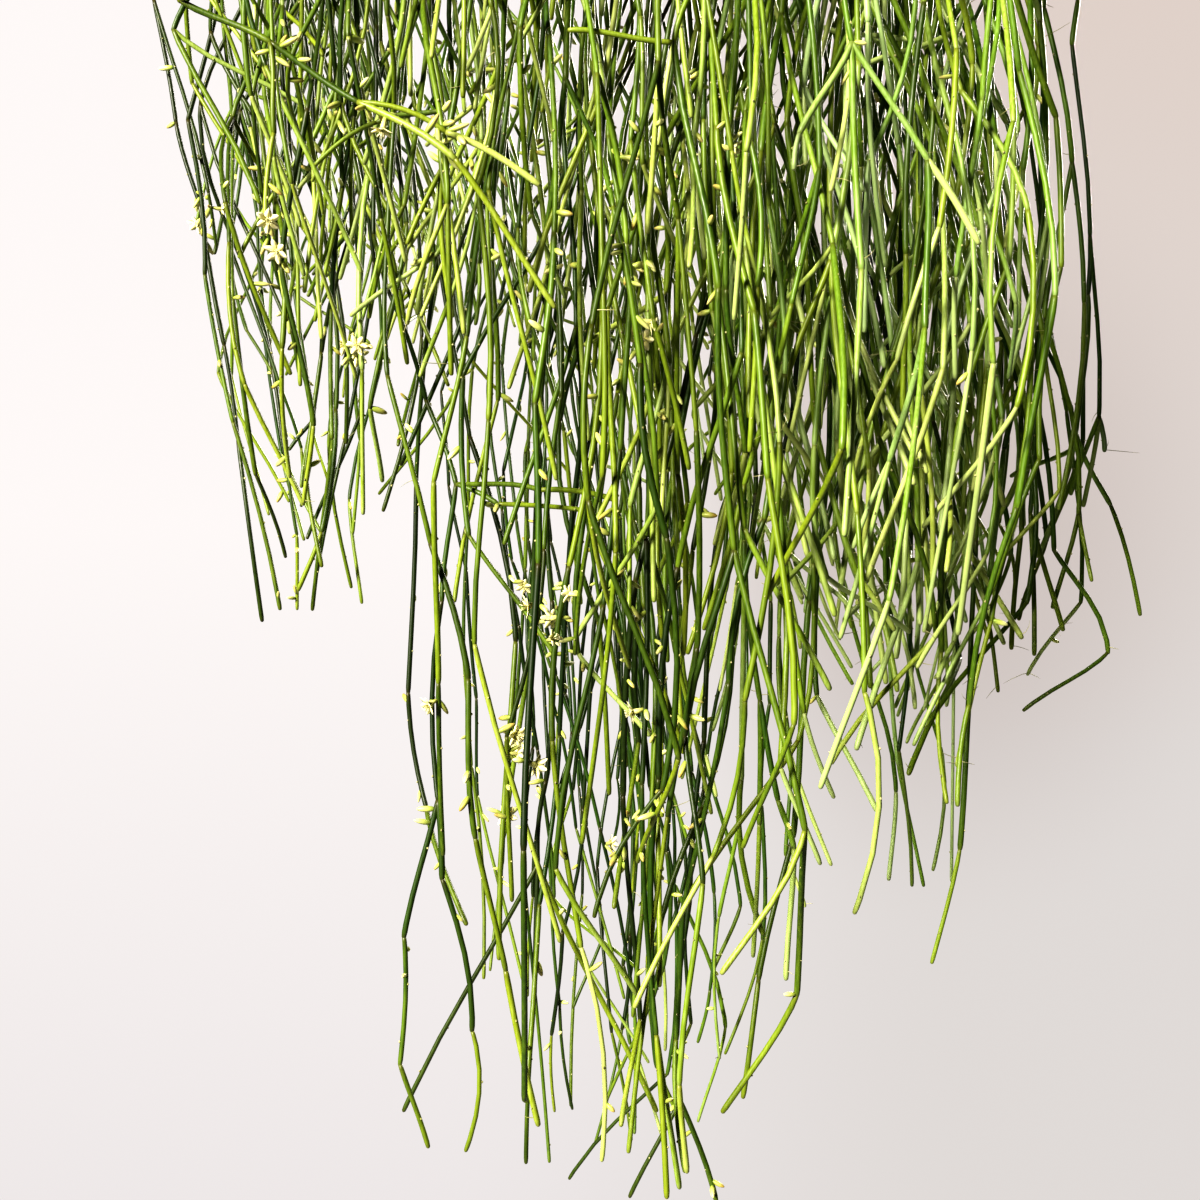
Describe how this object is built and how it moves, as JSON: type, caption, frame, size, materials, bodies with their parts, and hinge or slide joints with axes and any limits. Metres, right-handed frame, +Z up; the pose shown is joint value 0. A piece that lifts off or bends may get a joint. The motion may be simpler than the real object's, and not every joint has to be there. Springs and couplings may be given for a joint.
{
  "type": "mistletoe cactus in a hanging pot",
  "caption": "Mistletoe cactus whose thin jointed stems arch out of a round hanging pot and fall in a long ragged curtain, under a wire hanger with a hook.",
  "frame": {"origin": "the inside of the hook's bow, at its top, where the pot hangs", "axes": "+Z up, the front towards -Y, +X to the right as seen from the front"},
  "size_m": [0.498, 0.4727, 1.2434],
  "materials": {
    "stem_green": "satin",
    "pot_plastic": "matte",
    "potting_mix": "matte",
    "hanger_steel": "satin"
  },
  "bodies": {
    "root": {"stem_01": "stem_green", "stem_02": "stem_green", "stem_03": "stem_green", "stem_04": "stem_green", "stem_05": "stem_green", "stem_06": "stem_green", "stem_07": "stem_green", "stem_08": "stem_green", "stem_09": "stem_green", "stem_10": "stem_green", "stem_11": "stem_green", "stem_12": "stem_green", "stem_13": "stem_green", "stem_14": "stem_green", "stem_15": "stem_green", "stem_16": "stem_green", "stem_17": "stem_green", "stem_18": "stem_green", "stem_19": "stem_green", "stem_20": "stem_green", "stem_21": "stem_green", "stem_22": "stem_green", "stem_23": "stem_green", "stem_24": "stem_green", "stem_25": "stem_green", "stem_26": "stem_green", "stem_27": "stem_green", "stem_28": "stem_green", "stem_29": "stem_green", "stem_30": "stem_green", "stem_31": "stem_green", "stem_32": "stem_green", "stem_33": "stem_green", "stem_34": "stem_green", "stem_35": "stem_green", "stem_36": "stem_green", "stem_37": "stem_green", "stem_38": "stem_green", "stem_39": "stem_green", "stem_40": "stem_green", "stem_41": "stem_green", "stem_42": "stem_green", "stem_43": "stem_green", "stem_44": "stem_green", "stem_45": "stem_green", "stem_46": "stem_green", "stem_47": "stem_green", "stem_48": "stem_green", "stem_49": "stem_green", "stem_50": "stem_green", "stem_51": "stem_green", "stem_52": "stem_green", "pot": "pot_plastic", "soil": "potting_mix", "hook": "hanger_steel", "hanger_wire_1": "hanger_steel", "hanger_wire_2": "hanger_steel", "hanger_wire_3": "hanger_steel"}
  },
  "joints": []
}
